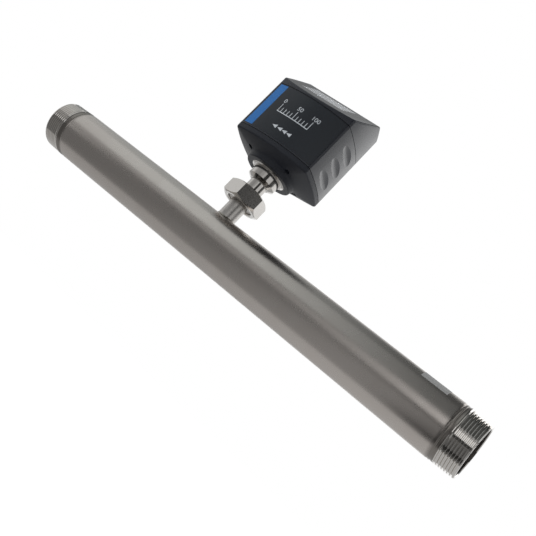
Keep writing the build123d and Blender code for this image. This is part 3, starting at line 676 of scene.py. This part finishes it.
for side in ("left", "right"):
    low, high = nodeBox("connector_shell_" + side)
    place = shellPlace((low[0] + high[0]) / 2, high[1], (low[2] + high[2]) / 2)
    flange, backAt = (high[0] - low[0]) / 2, high[1] - low[1]
    points, faces, mouth, inner = threadGrid(place, 0.0, shellThreadEnd, shell["pitch"],
                                             shellDepth, shellCrest, shell["steps"])
    profile = [(shellThreadEnd + shell["undercut"], shell["crest"] - shell["depth"]),
               (shell["flangeAt"], shell["crest"] - shell["depth"]),
               (shell["flangeAt"], flange - shell["flangeChamfer"]),
               (shell["flangeAt"] + shell["flangeChamfer"], flange),
               (shell["padAt"], flange),
               (shell["padAt"], shell["crest"] + shell["seatOuter"]),
               (shell["padAt"] - shell["seatDepth"], shell["crest"] + shell["seatInner"]),
               (shell["padAt"], shell["crest"]),
               (backAt, shell["crest"]),
               (backAt, shell["bore"]),
               (shell["boreChamfer"], shell["bore"]),
               (0.0, shell["bore"] + shell["boreChamfer"])]
    joinRings(points, faces, [inner] + ringsAt(place, profile, circleAngles(shell["steps"])) + [mouth])
    threadedShell = addPiece("threaded_shell_" + side, "sensor_head", points, faces,
                             [nickelBrass])
    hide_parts("connector_shell_" + side)
print("connector shells threaded")

# Print on the bowed front label: blue strip, flow arrows and a plain tick scale. The bow's
# radius and centre lay the print 0.025 mm in front of the film
label = {"bowRadius": 123.375, "bowCentre": 87.4,
         "stripLeft": -37.0, "stripRight": -28.0, "stripLow": 96.1, "stripHigh": 143.7,
         "stripColumns": 8, "arrowTips": [-11.1, -5.3, -0.2, 4.9], "arrowLength": 4.8,
         "arrowHeight": 3.9, "arrowZ": 105.5, "tipHeight": 0.01,
         "scaleLeft": -18.5, "scaleRight": 16.5, "scaleZ": 119.0, "baseLine": 0.8, "lineColumns": 24,
         "tickCount": 11, "tickWidth": 0.6, "longTick": 8.0, "longEvery": 5, "shortTick": 4.6,
         "figures": ["0", "50", "100"], "figureHeight": 4.2, "figureGap": 1.3, "letterShare": 0.73}


def onLabel(x, z):
    return (x, label["bowCentre"] - math.sqrt(label["bowRadius"] ** 2 - x * x), z)


def addPrint(name, patches, finish):
    # each patch is a strip of (x, low z, high z) columns laid on the film
    points, faces = [], []
    for patch in patches:
        first = len(points)
        for x, lowZ, highZ in patch:
            points += [onLabel(x, lowZ), onLabel(x, highZ)]
        for i in range(len(patch) - 1):
            a = first + 2 * i
            faces.append((a, a + 2, a + 3, a + 1))
    return addPiece(name, "sensor_head", points, faces, [finish])


def columnsBetween(left, right, lowZ, highZ, count):
    return [(left + (right - left) * i / count, lowZ, highZ) for i in range(count + 1)]


addPrint("blue_strip", [columnsBetween(label["stripLeft"], label["stripRight"], label["stripLow"],
                                       label["stripHigh"], label["stripColumns"])], blueInk)
silver = []
for tip in label["arrowTips"]:
    half = label["arrowHeight"] / 2
    silver.append([(tip, label["arrowZ"], label["arrowZ"] + label["tipHeight"]),
                   (tip + label["arrowLength"], label["arrowZ"] - half, label["arrowZ"] + half)])
silver.append(columnsBetween(label["scaleLeft"], label["scaleRight"], label["scaleZ"] - label["baseLine"],
                             label["scaleZ"], label["lineColumns"]))
span = label["scaleRight"] - label["scaleLeft"]
for i in range(label["tickCount"]):
    x = (label["scaleLeft"] + label["tickWidth"] / 2
         + (span - label["tickWidth"]) * i / (label["tickCount"] - 1))
    tall = label["longTick"] if i % label["longEvery"] == 0 else label["shortTick"]
    silver.append([(x - label["tickWidth"] / 2, label["scaleZ"], label["scaleZ"] + tall),
                   (x + label["tickWidth"] / 2, label["scaleZ"], label["scaleZ"] + tall)])
addPrint("silver_print", silver, silverInk)

# plain figures over the long ticks; the built-in letters stand letterShare of their size high
figurePoints, figureFaces = [], []
for i, figure in enumerate(label["figures"]):
    curve = bpy.data.curves.new("figure", "FONT")
    curve.body, curve.align_x = figure, "CENTER"
    curve.size = label["figureHeight"] / label["letterShare"]
    drawn = addObject("figure", curve)
    flat = evaluatedMesh(drawn)
    x = label["scaleLeft"] + span * i / (len(label["figures"]) - 1)
    z = label["scaleZ"] + label["longTick"] + label["figureGap"]
    first = len(figurePoints)
    figurePoints += [onLabel(x + v.co.x, z + v.co.y) for v in flat.vertices]
    figureFaces += [tuple(first + j for j in polygon.vertices) for polygon in flat.polygons]
    bpy.data.objects.remove(drawn)
addPiece("scale_figures", "sensor_head", figurePoints, figureFaces, [silverInk])
print("label printed")

# Camera where the photographer stood, below the pipe and rolled: place in metres, turns in
# degrees, and the focal length in pixels of the photograph's frame
photoCamera = {"place": (0.311879, -0.531706, -0.104680), "turns": (105.3942, -42.4066, 14.6786),
               "focalPixels": 728.408, "framePixels": 536, "sensorWidth": 36.0, "nearest": 0.01}
lens = bpy.data.cameras.new("photoCamera")
lens.sensor_width = photoCamera["sensorWidth"]
lens.lens = photoCamera["sensorWidth"] * photoCamera["focalPixels"] / photoCamera["framePixels"]
lens.clip_start = photoCamera["nearest"]
camera = addObject("photoCamera", lens)
camera.location = photoCamera["place"]
camera.rotation_euler = Euler([math.radians(turn) for turn in photoCamera["turns"]])
bpy.context.scene.camera = camera


def seenDirectly(tree):
    # 1 for the eye, in metal and through glass, and 0 for the light that falls on the object
    rays = addNode(tree, "ShaderNodeLightPath", {})
    eyeOrMetal = addNode(tree, "ShaderNodeMath", {"operation": "MAXIMUM"},
                         {0: rays.outputs["Is Camera Ray"], 1: rays.outputs["Is Glossy Ray"]})
    orGlass = addNode(tree, "ShaderNodeMath", {"operation": "MAXIMUM"},
                      {0: eyeOrMetal.outputs["Value"], 1: rays.outputs["Is Transmission Ray"]})
    return orGlass.outputs["Value"]


# Pale floor well below the camera, white to the eye except where the object shades it
floorLook = {"colour": "#eceae7", "height": -0.3, "reach": 9.0, "glow": 0.5}
floorMaterial, tree = newMaterial("paperFloor")
paper = addNode(tree, "ShaderNodeBsdfDiffuse", {"Color": toLinear(floorLook["colour"])})
glow = addNode(tree, "ShaderNodeMath", {"operation": "MULTIPLY", 1: floorLook["glow"]},
               {0: seenDirectly(tree)})
lit = addNode(tree, "ShaderNodeEmission", {}, {"Strength": glow.outputs["Value"]})
both = addNode(tree, "ShaderNodeAddShader", {}, {0: paper.outputs["BSDF"], 1: lit.outputs["Emission"]})
addNode(tree, "ShaderNodeOutputMaterial", {}, {"Surface": both.outputs["Shader"]})
floorMesh = bpy.data.meshes.new("paper_floor")
reach, height = floorLook["reach"], floorLook["height"]
floorMesh.from_pydata([(-reach, -reach, height), (reach, -reach, height), (reach, reach, height),
                       (-reach, reach, height)], [], [(0, 1, 2, 3)])
floorMesh.materials.append(floorMaterial)
addObject("paper_floor", floorMesh)

# White studio: the world is white to the eye and in metal and glass, softer as a light
studio = {"lightColour": "#e9edf2", "lightLevel": 0.75, "seenColour": "#ffffff", "seenLevel": 1.0}
world = bpy.data.worlds.new("whiteStudio")
bpy.context.scene.world = world
world.use_nodes = True
tree = world.node_tree
tree.nodes.clear()
soft = addNode(tree, "ShaderNodeBackground", {"Color": toLinear(studio["lightColour"]),
                                              "Strength": studio["lightLevel"]})
white = addNode(tree, "ShaderNodeBackground", {"Color": toLinear(studio["seenColour"]),
                                               "Strength": studio["seenLevel"]})
chosen = addNode(tree, "ShaderNodeMixShader", {}, {0: seenDirectly(tree), 1: soft.outputs["Background"],
                                                   2: white.outputs["Background"]})
addNode(tree, "ShaderNodeOutputWorld", {}, {"Surface": chosen.outputs["Shader"]})

# One big soft lamp, up and to the left, for the shading
keyLamp = {"place": (-0.9, -0.7, 1.1), "aim": (0.04, 0.0, 0.05), "size": 1.2, "power": 9.0}
lampData = bpy.data.lights.new("keyLamp", "AREA")
lampData.shape, lampData.size, lampData.energy = "SQUARE", keyLamp["size"], keyLamp["power"]
lamp = addObject("keyLamp", lampData)
lamp.location = keyLamp["place"]
lamp.rotation_euler = (Vector(keyLamp["aim"]) - lamp.location).to_track_quat("-Z", "Y").to_euler()
lamp.visible_glossy = False

# Softboxes and grey cards that only the shiny surfaces see, in metres and degrees. Around Z,
# turn is the compass angle from +X and rise the height above the horizon; around X, turn goes
# from the front up and over, and rise leans to +X. A card is white where no colour is given
cards = {
    "grey_drape": {"around": "Z", "turn": (-152, 27), "rise": (-8, 80), "distance": 5.0, "level": 0.14},
    "left_wall": {"around": "Z", "turn": (-235, -152), "rise": (-8, 45), "distance": 5.0, "level": 0.8},
    "left_overhead": {"around": "X", "turn": (25, 115), "rise": (-66, -43), "distance": 4.9, "level": 0.6},
    "main_softbox": {"around": "X", "turn": (30, 86), "rise": (-43, 12), "distance": 4.8, "level": 0.76,
                     "endLevel": 0.09, "fade": (-2.4, -0.4), "colour": "#faffff"},
    "ceiling": {"around": "X", "turn": (86, 122), "rise": (-43, 12), "distance": 4.8, "level": 0.5,
                "endLevel": 0.05, "fade": (-2.4, -0.4), "colour": "#f9ffff"},
    "back_ceiling": {"around": "X", "turn": (122, 143), "rise": (-75, 75), "distance": 4.9, "level": 0.45,
                     "endLevel": 0.2, "fade": (-2.4, -0.67), "colour": "#faffff"},
    "roof_light": {"around": "X", "turn": (128, 144), "rise": (-36, -20), "distance": 4.85, "level": 0.36,
                   "endLevel": 0.56, "fade": (-2.56, -2.03)},
    "rim_light": {"around": "X", "turn": (133, 143), "rise": (-19, 12), "distance": 4.85, "level": 0.5},
    "left_fill": {"around": "Z", "turn": (-152, -125), "rise": (10, 22), "distance": 4.7, "level": 0.38},
    "front_fill": {"around": "Z", "turn": (-125, -105), "rise": (5, 23), "distance": 4.7, "level": 0.33},
    "camera_fill": {"around": "Z", "turn": (-105, -80), "rise": (-8, 28), "distance": 4.7, "level": 0.43},
    "side_fill": {"around": "Z", "turn": (-80, -67), "rise": (-8, 25), "distance": 4.7, "level": 0.55},
    "camera_black": {"around": "Z", "turn": (-67, -43), "rise": (-8, 40), "distance": 4.6, "level": 0.04},
    "right_softbox": {"around": "Z", "turn": (-43, -7), "rise": (-8, 34), "distance": 4.6, "level": 0.71},
    "right_flag": {"around": "Z", "turn": (-7, 15), "rise": (-8, 20), "distance": 4.5, "level": 0.05},
    "right_overhead": {"around": "Z", "turn": (-35, 27), "rise": (20, 55), "distance": 4.55, "level": 0.5},
    "side_panel": {"around": "Z", "turn": (50, 92), "rise": (18, 60), "distance": 4.6, "level": 1.6},
}
# flat panels near the object, given by their extent along each axis
panels = {
    "front_cloth": {"x": (-4.0, 4.0), "y": (-4.0, -0.055), "z": (-0.28, -0.28), "level": 0.19,
                    "endLevel": 0.31, "fade": (-0.4, 0.05)},
    "under_cloth": {"x": (-4.0, 4.0), "y": (-0.055, 1.12), "z": (-0.28, -0.28), "level": 0.45,
                    "endLevel": 0.54, "fade": (-0.2, 0.1)},
    "dark_cloth": {"x": (0.17, 0.6), "y": (-1.0, -0.06), "z": (-0.279, -0.279), "level": 0.12},
    "black_cloth": {"x": (0.17, 0.6), "y": (-0.2, -0.115), "z": (-0.278, -0.278), "level": 0.03},
    "strip_light": {"x": (0.1, 0.27), "y": (-1.0, -1.0), "z": (-0.05, 0.33), "level": 0.98},
    "far_strip": {"x": (-1.35, -1.08), "y": (-1.0, -1.0), "z": (-0.05, 0.22), "level": 0.8},
    "strip_flag": {"x": (0.03, 0.32), "y": (-1.0, -1.0), "z": (-0.27, -0.05), "level": 0.05},
}


def cardDirection(around, turn, rise):
    t, r = math.radians(turn), math.radians(rise)
    if around == "Z":
        return Vector((math.cos(r) * math.cos(t), math.cos(r) * math.sin(t), math.sin(r)))
    return Vector((math.sin(r), -math.cos(r) * math.cos(t), math.cos(r) * math.sin(t)))


def addCard(name, card, points, faces):
    material, tree = newMaterial(name)
    shine = addNode(tree, "ShaderNodeEmission", {"Color": toLinear(card.get("colour", "#ffffff")),
                                                 "Strength": card["level"]})
    if "fade" in card:
        # the level changes to endLevel between two places along X
        coords = addNode(tree, "ShaderNodeTexCoord", {})
        axes = addNode(tree, "ShaderNodeSeparateXYZ", {}, {0: coords.outputs["Object"]})
        fade = addNode(tree, "ShaderNodeMapRange", {
            "From Min": card["fade"][0], "From Max": card["fade"][1],
            "To Min": card["level"], "To Max": card["endLevel"]}, {"Value": axes.outputs["X"]})
        tree.links.new(fade.outputs["Result"], shine.inputs["Strength"])
    addNode(tree, "ShaderNodeOutputMaterial", {}, {"Surface": shine.outputs["Emission"]})
    mesh = bpy.data.meshes.new(name)
    mesh.from_pydata(points, [], faces)
    mesh.materials.append(material)
    board = addObject(name, mesh)
    board.visible_camera = False
    board.visible_diffuse = False
    board.visible_transmission = False
    board.visible_shadow = False


grid = 12  # squares each way, so that a card bends round the object
gridFaces = [(i * (grid + 1) + j, i * (grid + 1) + j + 1, (i + 1) * (grid + 1) + j + 1,
              (i + 1) * (grid + 1) + j) for i in range(grid) for j in range(grid)]
for name, card in cards.items():
    points = []
    for i in range(grid + 1):
        for j in range(grid + 1):
            turn = card["turn"][0] + (card["turn"][1] - card["turn"][0]) * i / grid
            rise = card["rise"][0] + (card["rise"][1] - card["rise"][0]) * j / grid
            points.append(cardDirection(card["around"], turn, rise) * card["distance"])
    addCard(name, card, points, gridFaces)
for name, panel in panels.items():
    (x0, x1), (y0, y1), (z0, z1) = panel["x"], panel["y"], panel["z"]
    addCard(name, panel, [(x0, y0, z0), (x1, y0, z0), (x1, y1, z1), (x0, y1, z1)], [(0, 1, 2, 3)])
print("studio set")

bpy.context.scene.view_settings.view_transform = "Standard"
